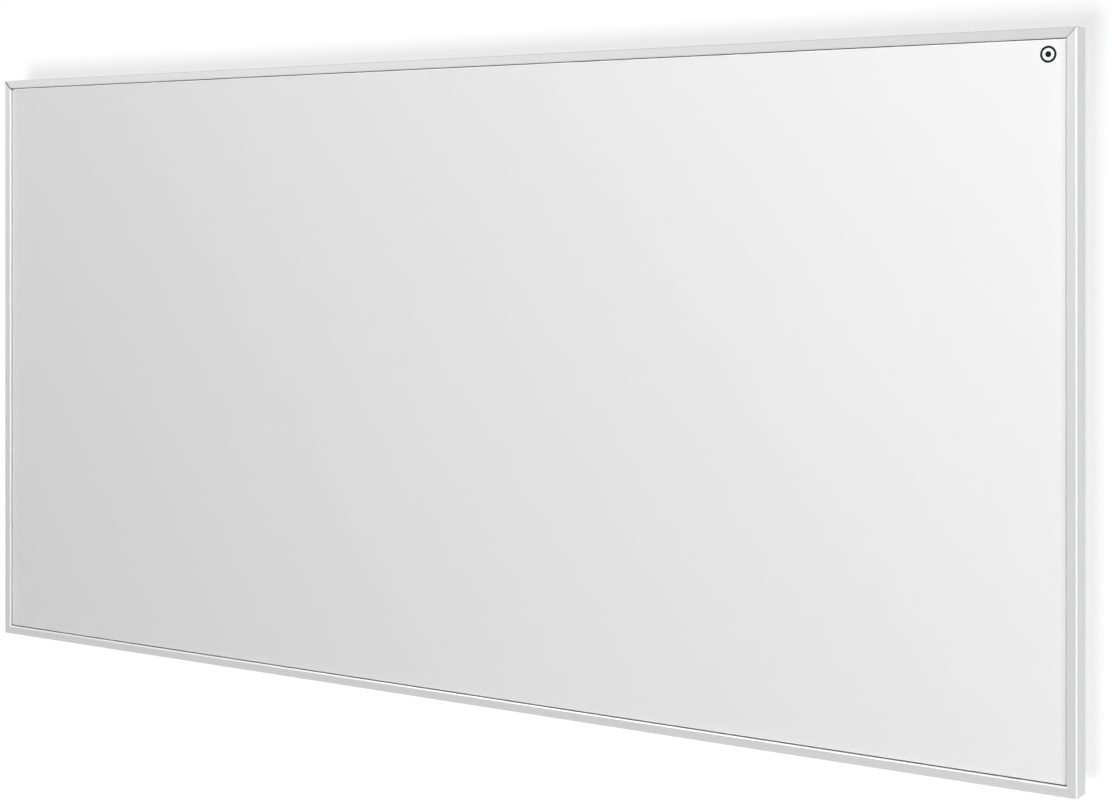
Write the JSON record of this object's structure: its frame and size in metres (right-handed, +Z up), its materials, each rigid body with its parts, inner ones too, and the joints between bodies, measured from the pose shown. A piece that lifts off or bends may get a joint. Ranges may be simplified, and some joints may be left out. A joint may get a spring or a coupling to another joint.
{
  "type": "infrared panel heater",
  "caption": "Wide flat infrared heating panel in a slim aluminium frame that hangs on wall studs by keyhole brackets, with a connection box, cable gland and rocker switch behind it.",
  "frame": {"origin": "on the wall plane, at the centre of the four wall fixings, which is the panel's centre seen from the front", "axes": "+X to the right seen from the front, +Y into the wall, +Z up; the heating face looks along -Y"},
  "size_m": [1.2, 0.045, 0.6],
  "materials": {
    "frame_aluminium": "satin",
    "face_white": "matte",
    "seal_silicone": "matte",
    "laminate": "satin",
    "copper": "satin",
    "foil": "polished",
    "mineral_mat": "matte",
    "cast_aluminium": "matte",
    "ceramic_base": "matte",
    "galvanised_steel": "satin",
    "zinc_plated_steel": "satin",
    "turned_steel": "satin",
    "rivet_aluminium": "satin",
    "box_plastic": "matte",
    "gland_nylon": "satin",
    "black_rubber": "matte",
    "terminal_plastic": "satin",
    "brass": "satin",
    "switch_plastic": "satin",
    "lead_brown": "satin",
    "lead_blue": "satin",
    "lead_green_yellow": "satin",
    "lead_white": "satin"
  },
  "bodies": {
    "wall_studs": {"wall_stud_bottom_left": "turned_steel", "wall_stud_bottom_right": "turned_steel", "wall_stud_top_left": "turned_steel", "wall_stud_top_right": "turned_steel"},
    "panel": {"back_cover": "galvanised_steel", "box_lid": "box_plastic", "box_rivets": "rivet_aluminium", "box_seal": "seal_silicone", "busbar_lead": "lead_white", "busbar_left": "copper", "busbar_right": "copper", "connection_box": "box_plastic", "corner_key_bottom_left": "cast_aluminium", "corner_key_bottom_right": "cast_aluminium", "corner_key_screws": "zinc_plated_steel", "corner_key_top_left": "cast_aluminium", "corner_key_top_right": "cast_aluminium", "cover_screws": "zinc_plated_steel", "cutout_left_base": "ceramic_base", "cutout_left_blades": "brass", "cutout_left_cup": "cast_aluminium", "cutout_right_base": "ceramic_base", "cutout_right_blades": "brass", "cutout_right_cup": "cast_aluminium", "earth_lead": "lead_green_yellow", "earth_nut": "zinc_plated_steel", "earth_ring_tag": "brass", "earth_stud": "zinc_plated_steel", "frame_bottom": "frame_aluminium", "frame_left": "frame_aluminium", "frame_right": "frame_aluminium", "frame_top": "frame_aluminium", "front_panel": "face_white", "front_seal": "seal_silicone", "gland_body": "gland_nylon", "gland_locknut": "gland_nylon", "gland_nut": "gland_nylon", "gland_seal": "black_rubber", "hanger_bracket_bottom_left": "zinc_plated_steel", "hanger_bracket_bottom_right": "zinc_plated_steel", "hanger_bracket_top_left": "zinc_plated_steel", "hanger_bracket_top_right": "zinc_plated_steel", "hanger_rivets": "rivet_aluminium", "heating_board": "laminate", "insulation_mat": "mineral_mat", "lid_screws": "zinc_plated_steel", "link_lead": "lead_white", "live_lead": "lead_brown", "neutral_lead": "lead_blue", "reflector_foil": "foil", "switch_blades": "brass", "switch_housing": "switch_plastic", "switched_lead": "lead_white", "terminal_block": "terminal_plastic", "terminal_clamps": "brass", "terminal_screws": "zinc_plated_steel", "wire_grommet": "black_rubber"},
    "rocker": {"switch_rocker": "switch_plastic"}
  },
  "joints": [
    {"name": "lift", "type": "slide", "parent": "wall_studs", "child": "panel", "axis": [0, 0, 1], "range_m": [0, 0.013]},
    {"name": "rocker_tilt", "type": "hinge", "parent": "panel", "child": "rocker", "pos_m": [0.328, -0.01555, -0.2706], "axis": [0, 1, 0], "range_deg": [0, 18]}
  ]
}
